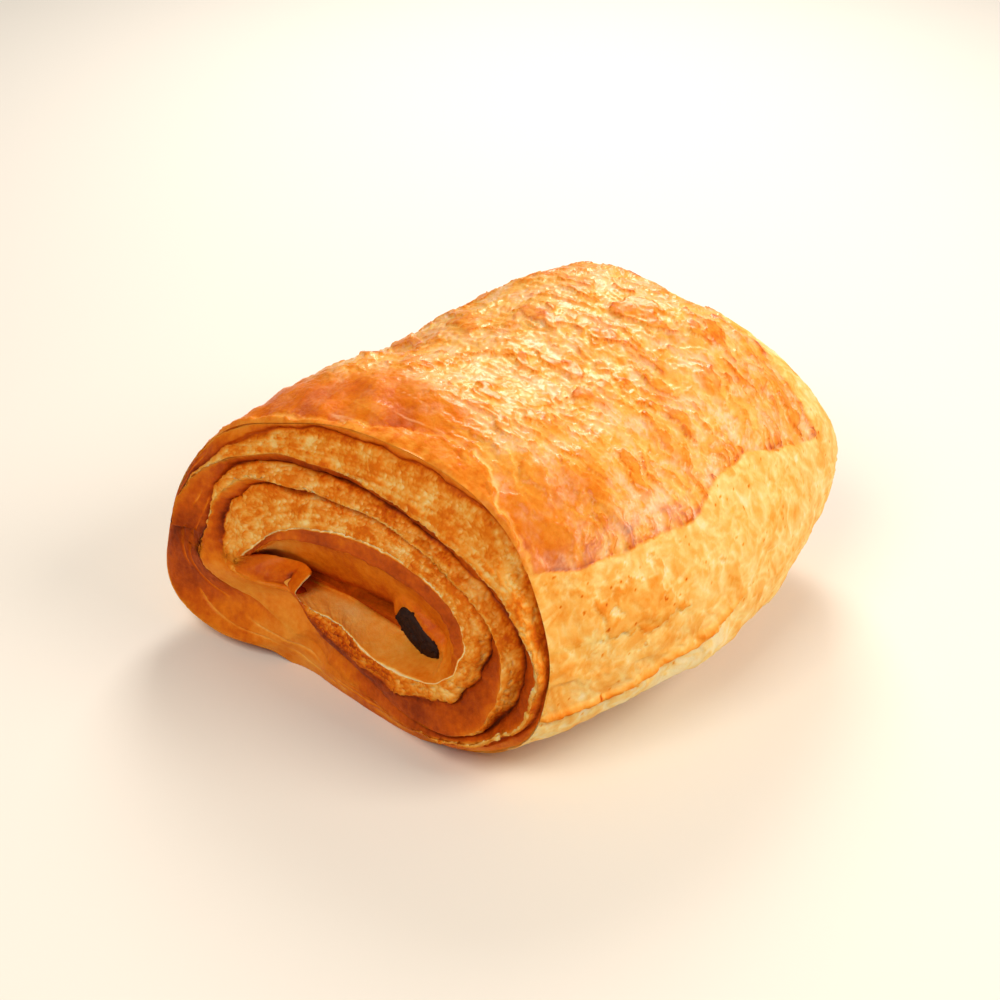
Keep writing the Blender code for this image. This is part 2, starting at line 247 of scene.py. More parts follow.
GAP_HALF_WIDTH = 0.5
GAP_GROOVE = 0.6
GAP_SHADE_REACH = 0.6
LIP_HEIGHT = 0.55
LIP_HALF_WIDTH = 0.22
RIM_ROUNDING = 1.7
RIM_LINE = 0.985
PALER_CREST = 0.14
# Leaves of the sheet that show as pale lines on the outer wrap's smooth skin: share of its width, and seed.
LEAF_LINES = ((0.35, 201), (0.62, 203))
LEAF_LINE_WANDER = 0.16
LEAF_LINE_DEGREES = (660.0, 1098.0)


def ease(x, low, high):
    """0 below low, 1 above high, and a smooth step between."""
    t = np.clip((x - low) / (high - low), 0.0, 1.0)
    return t * t * (3.0 - 2.0 * t)


def mix(first, second, share):
    return first + (second - first) * share


def bump(x, at, spread):
    """A smooth hump of height 1."""
    return np.exp(-(((x - at) / spread) ** 2))


def curve_through(table, x):
    """Read the smooth curve through a table's rows, whose first number is the place, at every x."""
    table = np.array(table, dtype=float)
    places, values = table[:, 0], table[:, 1:]
    slopes = np.gradient(values, places, axis=0)
    i = np.clip(np.searchsorted(places, x, side="right") - 1, 0, len(places) - 2)
    width = (places[i + 1] - places[i])[..., None]
    t = np.clip((x[..., None] - places[i][..., None]) / width, 0.0, 1.0)
    from_low = values[i] * (1 + 2 * t) * (1 - t) ** 2 + slopes[i] * width * t * (1 - t) ** 2
    from_high = values[i + 1] * t * t * (3 - 2 * t) + slopes[i + 1] * width * t * t * (t - 1)
    return from_low + from_high


def cell_value(cells, seed):
    """A number from 0 to 1 for each cell of a grid, always the same for the same cell and seed."""
    mask = np.uint64(0xFFFFFFFF)
    mixed = np.full(cells[0].shape, seed * 2654435761 % 4294967296, dtype=np.uint64)
    for axis in cells:
        whole = axis.astype(np.int64).astype(np.uint64) & mask
        mixed = ((mixed ^ whole) * np.uint64(2246822519)) & mask
        mixed ^= mixed >> np.uint64(15)
        mixed = (mixed * np.uint64(3266489917)) & mask
        mixed ^= mixed >> np.uint64(13)
    return mixed / 4294967296.0


def noise(place, sizes, seed):
    """Smooth noise from about -1 to 1 at a place, with swellings of the given sizes along each of its numbers."""
    scaled = [p / s for p, s in zip(place, sizes)]
    low = [np.floor(v) for v in scaled]
    share = [v - f for v, f in zip(scaled, low)]
    faded = [t * t * t * (t * (t * 6 - 15) + 10) for t in share]
    total = 0.0
    for corner in itertools.product((0, 1), repeat=len(place)):
        drawn_number = cell_value([f + step for f, step in zip(low, corner)], seed)
        weight, slope = 1.0, 0.0
        for axis, step in enumerate(corner):
            weight = weight * (faded[axis] if step else 1 - faded[axis])
            slope = slope + (np.mod(drawn_number * 131.0**axis, 1.0) * 2 - 1) * (share[axis] - step)
        total = total + weight * slope
    return total * 2.3


def rough(place, sizes, seed, layers=3):
    """Noise with finer and weaker noise on top of it, from about -1 to 1."""
    total, weight = 0.0, 1.0
    for layer in range(layers):
        total = total + weight * noise(place, [s / 2.1**layer for s in sizes], seed + layer)
        weight *= 0.5
    return total / 1.4


def grains(place, size, seed):
    """Scattered rounded grains: 1 at a grain's middle and 0 where grains meet, and each grain's own number."""
    scaled = [p / size for p in place]
    low = [np.floor(v) for v in scaled]
    nearest = np.full(scaled[0].shape, 9.0)
    second = nearest.copy()
    own = np.zeros(scaled[0].shape)
    for step in itertools.product((-1, 0, 1), repeat=len(place)):
        cell = [f + s for f, s in zip(low, step)]
        away = 0.0
        for axis, (f, v) in enumerate(zip(cell, scaled)):
            away = away + (f + cell_value(cell, seed + 7 * axis) - v) ** 2
        closer = away < nearest
        second = np.where(closer, nearest, np.minimum(second, away))
        own = np.where(closer, cell_value(cell, seed + 31), own)
        nearest = np.where(closer, away, nearest)
    return np.clip((np.sqrt(second) - np.sqrt(nearest)) * 1.6, 0.0, 1.0), own


def outline(angle, right, left, top):
    """(a, b) of a section's outline: four quarters of a superellipse, flatter underneath."""
    c, s = np.cos(angle), np.sin(angle)
    middle_a, middle_b = SECTION_AXIS
    across = np.where(c >= 0, right - middle_a, left + middle_a)
    over = (top - middle_b) * np.abs(s) ** (2 / SHOULDER_ROUND)
    under = middle_b * np.abs(s) ** (2 / np.where(c >= 0, *UNDERSIDE_ROUND))
    a = middle_a + across * np.sign(c) * np.abs(c) ** (2 / SIDE_ROUND)
    return a, middle_b + np.where(s >= 0, over, -under)


def end_plane(end, a, b):
    """Place along X of the plane of a cut end."""
    at, lean, turn = end
    return at + lean * (b - END_MIDDLE[1]) + turn * (a - END_MIDDLE[0])


def raise_underside(b, top, share):
    """Lift the underside where the roll rounds up to its far end, and leave the top as it is."""
    return b + FAR_UNDERSIDE_RISE * share * (1 - b / top)


def skin_lift(x, angle):
    """The swellings and dents of the skin at a place along X and an angle round the roll."""
    lift = 0.0
    for at, turn, height, spread, spread_angle in SKIN_LUMPS:
        away = np.mod(np.degrees(angle) - turn + 180.0, 360.0) - 180.0
        lift = lift + height * np.exp(-(((x - at) / spread) ** 2) - (away / spread_angle) ** 2)
    return lift


def rim(angle, end):
    """The edge of the outer skin at a cut end: (x, a, b)."""
    section = SECTIONS[0] if end is NEAR_END else SECTIONS[-1]
    a, b = outline(angle, *section[1:])
    if end is FAR_END:
        b = raise_underside(b, section[3], 1.0)
        return end_plane(end, a, b) - curve_through(FAR_SETBACK, np.degrees(angle))[..., 0], a, b
    x = end_plane(end, a, b) + curve_through(NEAR_SETBACK, np.degrees(angle))[..., 0]
    lift = skin_lift(x, angle)
    return x, a + lift * np.cos(angle), np.maximum(b + lift * np.sin(angle), 0.0)


def body_skin(share, angle):
    """The skin between the two ends: (x, a, b)."""
    x = mix(rim(angle, NEAR_END)[0], rim(angle, FAR_END)[0], share)
    place = mix(SECTIONS[0][0], SECTIONS[-1][0], share) + 0 * angle
    right, left, top = np.moveaxis(curve_through(SECTIONS, place), -1, 0)
    a, b = outline(angle, right, left, top)
    b = raise_underside(b, top, ease(share, 0.72, 1.0))
    lift = skin_lift(x, angle) * (1 - ease(share, 0.92, 1.0))
    return x, a + lift * np.cos(angle), np.maximum(b + lift * np.sin(angle), 0.0)


def sheet_edges(unwound):
    """Distance from the wraps' axis to the edge of each turn of the sheet, and to the one before it."""
    edges = []
    for turn in range(TURNS):
        along = unwound + 360.0 * turn
        wander = rough([along, 0 * along + 3.0], (16.0, 1.0), 5)
        edges.append(curve_through(SHEET_EDGE, along)[..., 0] + EDGE_WANDER * wander)
    return edges


def wraps_polar(a, b):
    """Degrees unwound from the sheet's inner end, and distance from the wraps' axis."""
    across, up = a - WRAP_AXIS[0], (b - WRAP_AXIS[1]) / WRAP_FLATTENING
    return np.mod(np.degrees(np.arctan2(up, across)) - INNER_END_ANGLE, 360.0), np.hypot(across, up)


def wraps_place(unwound, distance):
    """(a, b) of a place given in degrees unwound and distance from the wraps' axis."""
    turned = np.radians(unwound + INNER_END_ANGLE)
    a = WRAP_AXIS[0] + distance * np.cos(turned)
    return a, WRAP_AXIS[1] + distance * np.sin(turned) * WRAP_FLATTENING


def wraps_relief(unwound, distance, rim_distance, rim_height):
    """How far the wraps stand out of a cut end's plane, and the look of their surface."""
    edges = sheet_edges(unwound)
    edges.append(np.maximum(rim_distance, edges[-1] + 1.0))
    free_end = ease(unwound, *FREE_END_DEGREES)
    notch = NOTCH_DEPTH * bump(unwound, NOTCH_ANGLE, NOTCH_SPREAD)
    roll_back = TONGUE_ROLL_BACK * ease(unwound, 10.0, 40.0) * (1 - ease(unwound, 80.0, 130.0))
    crests = [
        -FOLD_DEPTH * (1 - free_end),
        -roll_back,
        -np.maximum(notch, roll_back),
        rim_height,
    ]
    turned = np.radians(unwound + INNER_END_ANGLE)
    to_mm = np.hypot(np.cos(turned), np.sin(turned) * WRAP_FLATTENING)
    result = {"out": crests[0] + 0 * distance}
    for name in ("crumb", "lip", "gap", "skin bake"):
        result[name] = 0 * distance
    for i in range(TURNS):
        along = unwound + 360.0 * i
        width = edges[i + 1] - edges[i]
        share = np.clip((distance - edges[i]) / width, 0.0, 1.0)
        inside = distance > edges[i]
        open_share, depth, raggedness, skin_bake = np.moveaxis(curve_through(WRAP_LOOK, along), -1, 0)
        open_share = np.clip(open_share + 0.07 * rough([along, 0 * along], (9.0, 1.0), 17), 0.0, 0.96)
        open_share = open_share * ease(open_share, 0.0, 0.1)
        depth = depth * (free_end if i == 0 else 1.0)
        rounding = (1 + 1.4 * (1 - ease(unwound, 90.0, 130.0)), 1.0, RIM_ROUNDING)[i]
        down = np.clip(share / np.maximum(open_share, 0.12), 0.0, 1.0) ** 1.7
        up = np.clip((1 - share) / np.maximum(1 - open_share, 0.12), 0.0, 1.0) ** 0.55
        from_gap = (share - open_share) * width * to_mm
        groove = GAP_GROOVE * bump(from_gap, 0.0, GAP_HALF_WIDTH) * np.minimum(depth, 1.0)
        band = mix(crests[i], crests[i + 1], share**rounding) - depth * np.minimum(down, up) - groove
        result["out"] = np.where(inside, band, result["out"])
        has_crumb = ease(open_share, 0.02, 0.08) * (ease(unwound, *TONGUE_CRUMB_DEGREES) if i == 0 else 1.0)
        result["crumb"] = np.where(inside, (1 - ease(from_gap, -0.35, 0.1)) * has_crumb, result["crumb"])
        # Painted shade in the gap between this wrap and the next, fading away from it.
        gap = np.exp(-np.abs(from_gap) / GAP_SHADE_REACH) * np.minimum(depth, 1.0)
        result["gap"] = np.where(inside, gap, result["gap"])
        crest_bake = skin_bake - PALER_CREST * ease(share, 0.75, 1.0) * depth / 2
        result["skin bake"] = np.where(inside, crest_bake, result["skin bake"])
        ragged = np.clip(0.6 + rough([along, 0 * along], (3.0, 1.0), 23 + i), 0.0, 1.5) * raggedness
        near_edge = bump((distance - edges[i]) * to_mm, 0.0, LIP_HALF_WIDTH)
        result["lip"] = np.maximum(result["lip"], near_edge * ragged)
        if i == TURNS - 1:
            rim_line = bump((share - RIM_LINE) * width * to_mm, 0.0, LIP_HALF_WIDTH)
            result["lip"] = np.maximum(result["lip"], 0.7 * rim_line * inside * np.clip(ragged, 0.2, 1.0))
        for line, seed in LEAF_LINES:
            leaf_at = line + LEAF_LINE_WANDER * noise([along, 0 * along], (30.0, 1.0), seed + i)
            first, last = LEAF_LINE_DEGREES
            shown = (1 - ease(open_share, 0.15, 0.3)) * ease(along, first, first + 50.0)
            patchy = ease(noise([along, 0 * along], (16.0, 1.0), seed + 9 + i), -0.3, 0.1)
            shown = shown * (1 - ease(along, last - 28.0, last)) * patchy
            leaf_edge = bump((share - leaf_at) * width * to_mm, 0.0, LIP_HALF_WIDTH)
            result["lip"] = np.maximum(result["lip"], 0.7 * leaf_edge * shown * inside)
    return result


# The mesh of the roll: columns round it, and rows of each heart, of each near wrap, of the skin along the roll and
# of each far wrap. It is finest on the near end and the crust, which show the most.
COLUMNS = 720
HEART_ROWS = 34
WRAP_ROWS = 48
SKIN_ROWS = 280
FAR_WRAP_ROWS = 24
# The wall over the slit has a ledge, at a share of the way from the slit to the wrap's edge.
LEDGE_SHARE = 0.70
LEDGE_HEIGHT = 1.1
# How far baked the wall below and above its ledge is, and the tongue's top, within and at its edge.
WALL_BAKE = (0.58, 0.69)
TONGUE_BAKE = (0.33, 0.42)


def stack(*parts):
    return np.concatenate(parts, axis=0)


def column_angles(columns):
    """Angles round the roll that share its outline into equal lengths."""
    fine = np.linspace(0.0, 2 * math.pi, 2 * COLUMNS + 1)
    a, b = outline(fine, *SECTIONS[0][1:])
    length = np.append(0.0, np.cumsum(np.hypot(np.diff(a), np.diff(b))))
    return np.interp(np.arange(columns) / columns * length[-1], length, fine)


def far_place(a, b):
    """Where a place on the near end comes to lie on the far end, which is smaller."""
    near_right, near_left, near_top = SECTIONS[0][1:]
    right, left, top = SECTIONS[-1][1:]
    middle = SECTION_AXIS[0]
    across = np.where(a >= middle, (right - middle) / (near_right - middle), (left + middle) / (near_left + middle))
    b = b * (top - FAR_UNDERSIDE_RISE) / near_top + FAR_UNDERSIDE_RISE
    return middle + (a - middle) * across, b


def stick_seat(a, b):
    """1 where the stick's end lies and fading to 0 around it."""
    across, over = a - STICK_MIDDLE[0], b - STICK_MIDDLE[1]
    along = np.abs(across * math.cos(STICK_TILT) + over * math.sin(STICK_TILT)) / STICK_HALF[0]
    upright = np.abs(over * math.cos(STICK_TILT) - across * math.sin(STICK_TILT)) / STICK_HALF[1]
    reach = (along**STICK_CORNER + upright**STICK_CORNER) ** (1 / STICK_CORNER)
    return 1 - ease(reach, 1.05, 1.55)


def cut_end(angle, end, heart_rows, wrap_rows):
    """A cut end from its heart to its rim: places (x, a, b) and what the skin is like there."""
    rim_x = rim(angle, end)[0]
    near_x, near_a, near_b = rim(angle, NEAR_END)
    unwound, rim_distance = wraps_polar(near_a, near_b)
    edges = sheet_edges(unwound)
    following = edges[1:] + [rim_distance]
    shifted = 1 - ease(unwound, 0.0, FREE_END_DEGREES[1] / 2)
    tracks = [mix(edge, after, shifted) for edge, after in zip(edges, following)] + [rim_distance]
    shares = (np.arange(wrap_rows) / wrap_rows)[:, None]
    distance = stack(*(mix(tracks[i], tracks[i + 1], shares) for i in range(TURNS)))
    turned = unwound + 0 * distance
    a, b = wraps_place(turned, distance)
    rim_height = end_plane(NEAR_END, near_a, near_b) - near_x
    wraps = wraps_relief(turned, distance, rim_distance + 0 * distance, rim_height + 0 * distance)
    out = wraps["out"]

    share = ((np.arange(heart_rows) / heart_rows) ** 0.9)[:, None]
    floor_a = HEART_AXIS[0] + HEART_HALF_WIDTH * np.cos(angle)
    floor_b = HEART_AXIS[1] + HEART_HALF_GAP * np.sin(angle) + HEART_RISE * (floor_a - HEART_AXIS[0])
    heart_a, heart_b = mix(floor_a, a[0], share), mix(floor_b, b[0], share)
    heart_out = mix(-HEART_DEPTH, out[0], share**0.85)
    on_wall = ease(unwound, 150.0, 195.0) * (1 - ease(unwound, 350.0, 360.0))
    on_tongue = (1 - ease(unwound, 90.0, 170.0)) * ease(unwound, 0.0, 14.0)
    ledge_at = LEDGE_SHARE + 0.04 * rough([unwound, 0 * unwound], (14.0, 1.0), 29)
    ledge = ease(share, ledge_at, ledge_at + 0.03) * (1 - ease(share, ledge_at + 0.05, 0.97))
    heart_out = heart_out + LEDGE_HEIGHT * on_wall * ledge
    lit_corner = bump(unwound, 336.0, 24.0) * (1 - ease(share, ledge_at - 0.1, ledge_at))
    wall_bake = mix(*WALL_BAKE, ease(share, ledge_at, ledge_at + 0.05)) - 0.26 * lit_corner
    tongue_bake = mix(WALL_BAKE[0], mix(*TONGUE_BAKE, ease(share, 0.75, 0.98)), on_tongue)
    # Darker next to the slit, deep in the hollow: painted shade.
    heart_bake = mix(tongue_bake, wall_bake, on_wall) + 0.16 * (1 - ease(share, 0.0, 0.22))

    a, b, out = stack(heart_a, a), stack(heart_b, b), stack(heart_out, out)
    blank = 0 * heart_a
    look = {
        "crumb": stack(blank, wraps["crumb"]),
        "lip": stack(0.8 * on_wall * bump(share, ledge_at + 0.02, 0.02), wraps["lip"]),
        "gap": stack(blank, wraps["gap"]),
        "skin bake": stack(heart_bake + blank, wraps["skin bake"]),
        "unwound": stack(unwound + blank, turned),
        "distance": stack(mix(0.0, tracks[0], share), distance),
    }
    if end is NEAR_END:
        x = end_plane(end, a, b) - out
        seat_x = end_plane(end, *STICK_MIDDLE) + STICK_RECESS[0] + STICK_STANDS_OUT
        seat = stick_seat(heart_a, heart_b) * (1 - ease(share, 0.8, 1.0))
        x[:heart_rows] = mix(x[:heart_rows], seat_x, seat)
        return x, a, b, look
    a, b = far_place(a, b)
    behind_rim = end_plane(end, *far_place(near_a, near_b)) - rim_x
    near_rim = ease(look["distance"] / rim_distance, 0.5, 1.0)
    out = FAR_RELIEF * out - (behind_rim + FAR_RELIEF * rim_height) * near_rim
    return end_plane(end, a, b) + out, a, b, look


angle = column_angles(COLUMNS)
near_x, near_a, near_b, near_look = cut_end(angle, NEAR_END, HEART_ROWS, WRAP_ROWS)
far_x, far_a, far_b, far_look = cut_end(angle, FAR_END, HEART_ROWS, FAR_WRAP_ROWS)
skin_share = (np.arange(SKIN_ROWS + 1) / SKIN_ROWS)[:, None]
skin_x, skin_a, skin_b = body_skin(skin_share, angle + 0 * skin_share)
NEAR_ROWS = len(near_x)
x = stack(near_x, skin_x, far_x[::-1])
a = stack(near_a, skin_a, far_a[::-1])
b = stack(near_b, skin_b, far_b[::-1])
ROWS = len(x)
LAST_SKIN_ROW = NEAR_ROWS + SKIN_ROWS
on_skin = np.zeros((ROWS, COLUMNS))
on_skin[NEAR_ROWS : LAST_SKIN_ROW + 1] = 1.0
look = {}
for name in near_look:
    look[name] = stack(near_look[name], 0 * skin_x, far_look[name][::-1])
degrees_round = np.degrees(angle) + 0 * x
place = np.stack([x, -a, b], axis=-1)


def outward(place):
    """Unit vectors that point out of the roll's skin."""
    along = np.gradient(place, axis=0)
    around = np.roll(place, -1, axis=1) - np.roll(place, 1, axis=1)
    normal = np.cross(around, along)
    length = np.linalg.norm(normal, axis=-1, keepdims=True)
    return normal / np.maximum(length, 1e-9)


# The crust on top: the outer wrap, brushed with egg wash before baking. It is a thin film of many leaves, which
# lifts into flat blisters by the near end and splits and flakes across the roll behind them.
WASH_EDGE = (
    # place along X, degrees round the roll: where the brush stopped on the pale long side
    (-60, 40), (-36, 38), (-27, 33), (-15, 34), (-7, 34), (4, 40), (13, 40), (22, 32), (31, 25), (45, 27),
)
WASH_FAR_EDGE = ((0, 30), (28, 34), (39, 33.6), (56, 36), (74, 36.8), (110, 35.0), (150, 31.0), (180, 30))
WASH_BACK_EDGE = 158.0
MM_PER_DEGREE = 0.75
TORN_BACK = (
    # degrees round the roll, how far the film has torn back from the near rim, off the amber layer beneath it
    (0, 0.4), (50, 0.6), (60, 1.6), (68, 4.6), (78, 6.0), (88, 4.4), (97, 2.0), (108, 1.0), (130, 1.4),
    (150, 0.8), (170, 0.4), (360, 0.4),
)
# Heights in millimetres.
SWELLS = (0.8, 0.35)
WIDE_LEAF_HEIGHT = 0.40
SMALL_LEAF_HEIGHT = 0.22
SPLIT_DEPTH = 0.42
SPLIT_RIM_HEIGHT = 0.26
WRINKLE_HEIGHTS = (0.20, 0.13)
BLISTER_HEIGHT = 0.42
FILM_HEIGHT = 0.28
WASH_EDGE_HEIGHT = 0.12
TORN_DEPTH = 0.62
TORN_RIM_HEIGHT = 0.25
STRAIGHT_LINE_DEPTH = 0.10

solid = [x, a, b]
arc = np.cumsum(np.hypot(np.diff(a, axis=1, prepend=a[:, :1]), np.diff(b, axis=1, prepend=b[:, :1])), axis=1)
top_column = np.argmin(np.abs(angle - math.pi / 2))
arc = arc - arc[:, top_column : top_column + 1]
lay = [x, arc]

wash_inside = np.minimum(
    (degrees_round - curve_through(WASH_EDGE, x)[..., 0]) * MM_PER_DEGREE,
    (WASH_BACK_EDGE - degrees_round) * MM_PER_DEGREE,
)
wash_inside = np.minimum(wash_inside, curve_through(WASH_FAR_EDGE, degrees_round)[..., 0] - x)
wash_inside = wash_inside + rough(lay, (7.0, 7.0), 41, 4)
washed = ease(wash_inside, -0.3, 0.5) * on_skin
wash_edge = bump(wash_inside, 0.0, 0.8) * on_skin

swirl = [1.8 * noise(lay, (8.0, 8.0), 44) + 0.7 * noise(lay, (3.0, 3.0), 46), 2.4 * noise(lay, (8.0, 8.0), 45)]
swirled = [x + swirl[0], arc + swirl[1]]
behind_rim = x - skin_x[:1]
torn_line = behind_rim - curve_through(TORN_BACK, degrees_round)[..., 0] - 0.9 * rough(lay, (3.2, 3.2), 111, 4)
film_gone = (1 - ease(torn_line, -0.15, 0.15)) * on_skin * washed
torn_rim = bump(torn_line, 0.45, 0.4) * on_skin * washed
smooth_near = (1 - ease(x + 7 * noise(lay, (20.0, 20.0), 43), -33.0, -18.0)) * washed
broken = washed * (1 - 0.85 * smooth_near)


def leaves(at, sizes, step_share, seed):
    """Leaves of film that overlap like tiles: height, 1 at a leaf's torn edge and 0 at the next, and the edge."""
    line = x / at + 0.9 * noise(lay, sizes, seed) + 0.16 * rough(lay, (2.4, 1.7), seed + 1, 2)
    fall = line - np.floor(line)
    return (1 - fall) * ease(fall, 0.0, step_share), bump(fall, 0.0, 1.6 * step_share)


wide_leaf, wide_edge = leaves(6.5, (12.0, 15.0), 0.045, 51)
wide_patch = ease(noise(lay, (10.0, 12.0), 53), -0.3, 0.1) * broken
small_leaf, small_edge = leaves(2.4, (5.0, 8.0), 0.12, 55)
small_patch = ease(noise(lay, (5.0, 7.0), 57), -0.1, 0.2) * broken


def cracks(sizes, ragged, reach, seed):
    """Places where the film has split across the roll: the split, a painted shadow by it and its raised pale side.
    """
    thin = noise(swirled, sizes, seed) + ragged * rough(lay, (1.6, 2.2), seed + 1)
    here = ease(noise(lay, (9.0, 12.0), seed + 2), -0.3, 0.0) * broken
    opened = ease(thin, reach, reach + 0.04)
    shade = bump(thin, reach + 0.05, 0.04)
    raised = bump(thin, reach - 0.02, 0.03)
    return opened * here, shade * here, raised * here


def creases(field, narrowness):
    """Fine lines where a field of noise passes 0: 1 on a line and 0 away from it."""
    return np.clip(1 - np.abs(field) * narrowness, 0.0, 1.0)


wide_split, wide_shade, wide_rim = cracks((2.9, 13.0), 0.14, 0.15, 61)
small_split, small_shade, small_rim = cracks((1.3, 6.5), 0.12, 0.30, 64)
split = np.maximum(wide_split, 0.7 * small_split)
split_shade = np.maximum(wide_shade, 0.6 * small_shade)
split_rim = np.maximum(wide_rim, 0.6 * small_rim)

swell = SWELLS[0] * noise(lay, (17.0, 19.0), 71) + SWELLS[1] * noise(lay, (7.0, 9.0), 72)
wrinkle = creases(rough([x + 1.2 * swirl[1], arc + 1.2 * swirl[0]], (2.0, 2.8), 73, 3), 2.6)
fine_curl = creases(rough(swirled, (0.95, 1.5), 79, 2), 2.2)
straight_lines = creases(noise(lay, (3.4, 46.0), 75), 14)
blister = noise(lay, (5.0, 6.5), 78)

crust_relief = swell * (0.4 + 0.6 * washed)
crust_relief += WIDE_LEAF_HEIGHT * wide_leaf * wide_patch + SMALL_LEAF_HEIGHT * small_leaf * small_patch
crust_relief += -SPLIT_DEPTH * split + SPLIT_RIM_HEIGHT * split_rim
curls = WRINKLE_HEIGHTS[0] * wrinkle + WRINKLE_HEIGHTS[1] * fine_curl
crust_relief += curls * broken * (1 - 0.6 * split)
crust_relief += (0.05 * wrinkle + BLISTER_HEIGHT * blister) * smooth_near
crust_relief += FILM_HEIGHT * washed + WASH_EDGE_HEIGHT * wash_edge
crust_relief += -TORN_DEPTH * film_gone + TORN_RIM_HEIGHT * torn_rim
crust_relief -= STRAIGHT_LINE_DEPTH * straight_lines * smooth_near

# The pale long side: the same outer wrap where no egg was brushed. It is matt and softly wrinkled, with a patch
# where the film has peeled, and a crease above the lip that the roll stands on.
CREASE = (
    # place along X, degrees round the roll
    (-60, -10), (-41, -8), (-31, -7), (-22, -3), (-12, -1), (-2, 3), (10, 7), (60, 12),
)
CREASE_END = (-9.0, 3.0)
CREASE_DEPTH = 1.1
LIP_SWELL = 0.35
# Place along X and degrees round the roll of the peeled patch, and its spread in each.
SCAR = (-22.0, 17.0, 7.0, 9.0)
SCAR_DEPTH = 0.25
SCAR_RIM_HEIGHT = 0.15
VEIN_HEIGHTS = (0.12, 0.06)
pale = (1 - washed) * on_skin
signed_degrees = np.mod(degrees_round + 180.0, 360.0) - 180.0
above_crease = (signed_degrees - curve_through(CREASE, x)[..., 0]) * MM_PER_DEGREE
above_crease = above_crease + 0.6 * rough(lay, (5.0, 5.0), 101)
creased = pale * (1 - ease(x, *CREASE_END)) * ease(signed_degrees, -60.0, -30.0)
crease = bump(above_crease, 0.0, 0.55) * creased
base_lip = (1 - ease(above_crease, -1.0, 0.0)) * creased
veins = creases(rough(swirled, (4.0, 5.0), 96, 3), 3.4)
fine_veins = creases(rough(swirled, (1.8, 2.6), 103, 2), 3.0)
scar_place = bump(x, SCAR[0], SCAR[2]) * bump(signed_degrees, SCAR[1], SCAR[3])
scar_place = scar_place + 0.45 * rough(lay, (3.0, 3.4), 105, 3)
scar = ease(scar_place, 0.42, 0.50) * pale
scar_rim = bump(scar_place, 0.40, 0.05) * pale
crust_relief += pale * (0.35 * noise(swirled, (8.0, 10.0), 76) + 0.16 * rough(swirled, (2.6, 4.0), 77, 3))
crust_relief += pale * (VEIN_HEIGHTS[0] * veins + VEIN_HEIGHTS[1] * fine_veins)
crust_relief += -CREASE_DEPTH * crease + LIP_SWELL * bump(above_crease, -1.4, 1.0) * creased
crust_relief += -SCAR_DEPTH * scar + SCAR_RIM_HEIGHT * scar_rim
along_skin = np.zeros_like(x)
along_skin[NEAR_ROWS : LAST_SKIN_ROW + 1] = skin_share
crust_relief = crust_relief * ease(along_skin, -0.004, 0.012) * (1 - ease(along_skin, 0.95, 1.0))
crust_relief = crust_relief * on_skin

# The cut ends: the open crumb of the dough, in small grains that lie in layers along the wraps, and between them
# the smooth skin of each wrap. The knife and the oven leave thin torn lips of skin along the edges.
GRAIN_SIZES = (0.95, 0.55)
grain, grain_own, fine_grain = 0 * x, 0 * x, 0 * x
for part in (slice(0, NEAR_ROWS + 1), slice(LAST_SKIN_ROW, ROWS)):
    end_place = [x[part], a[part], b[part]]
    grain[part], grain_own[part] = grains(end_place, GRAIN_SIZES[0], 81)
    fine_grain[part] = grains(end_place, GRAIN_SIZES[1], 83)[0]
clump = rough(solid, (1.4, 1.4, 1.4), 82, 3)
wound = [look["unwound"], look["distance"]]
layered = rough(wound, (26.0, 1.3), 86, 3) * ease(wound[0], 0.0, 20.0) * (1 - ease(wound[0], 340.0, 360.0))
# How pale the crumb is: its own mottled tone, and painted light, paler on the tops of grains and clumps and darker
# in the crevices between them, as the crumb's relief below rises and sinks with it.
crumb_tone_and_painted_light = 0.46 + 0.34 * clump + 0.34 * layered + 0.30 * noise(solid, (4.0, 4.0, 4.0), 84)
crumb_tone_and_painted_light = crumb_tone_and_painted_light + 0.66 * (grain * (0.4 + grain_own) - 0.35) + 0.30 * (fine_grain - 0.4)
crumb_tone_and_painted_light = np.clip(crumb_tone_and_painted_light, 0.0, 1.0)
crumb_relief = 0.66 * crumb_tone_and_painted_light - 0.32 + 0.55 * noise(solid, (5.0, 5.0, 5.0), 85)
end_skin_relief = 0.22 * noise(solid, (6.0, 6.0, 6.0), 87) + 0.06 * rough(solid, (1.6, 1.6, 1.6), 88)
end_relief = mix(end_skin_relief, crumb_relief, look["crumb"]) + LIP_HEIGHT * look["lip"]
end_relief[NEAR_ROWS - 1] *= 0.5
# Where the roll rests on the tray its relief fades out and its underside is pressed flat.
TRAY_PRESS = 1.0
rests = 1 - ease(b, 0.3, 2.5)
relief = (crust_relief + end_relief * (1 - on_skin)) * (1 - rests)
place = place + outward(place) * relief[..., None]
low = place[..., 2]
place[..., 2] = np.where(low < 2 * TRAY_PRESS, np.maximum(2 * (low - TRAY_PRESS), 0.0), low)

# How far baked each place is, from 0 for pale cream to 1 for dark brown, with painted light and shade in places;
# how glossy; and how far a pale veil covers it, partly lifted film and partly painted highlight on its curls.
# The oven browns the egg wash most, then the skins in the cut ends, and the pale side least.
PALE_BAKE = 0.29
FILM_BAKE = 0.365
SMOOTH_BAKE = 0.60
TORN_BAKE = 0.50
UNDERSIDE_BAKE = 0.60
CRUMB_BAKE = (0.57, 0.13)
TONGUE_PAINTED_SHADE = 0.26
LIP_PALER = 0.34
GAP_PAINTED_SHADE = 0.20
blush = 0.5 * bump(wash_inside, 3.0, 2.6) * washed * bump(x, -16.0, 16.0)
blush = blush * ease(rough(lay, (4.0, 4.0), 119), -0.4, 0.4)
side_low = 1 - ease(b, 8.0, 18.0)
pale_bake = PALE_BAKE + 0.08 * (1 - ease(x, -45.0, -12.0)) + 0.13 * rough(lay, (4.0, 5.0), 91, 4)
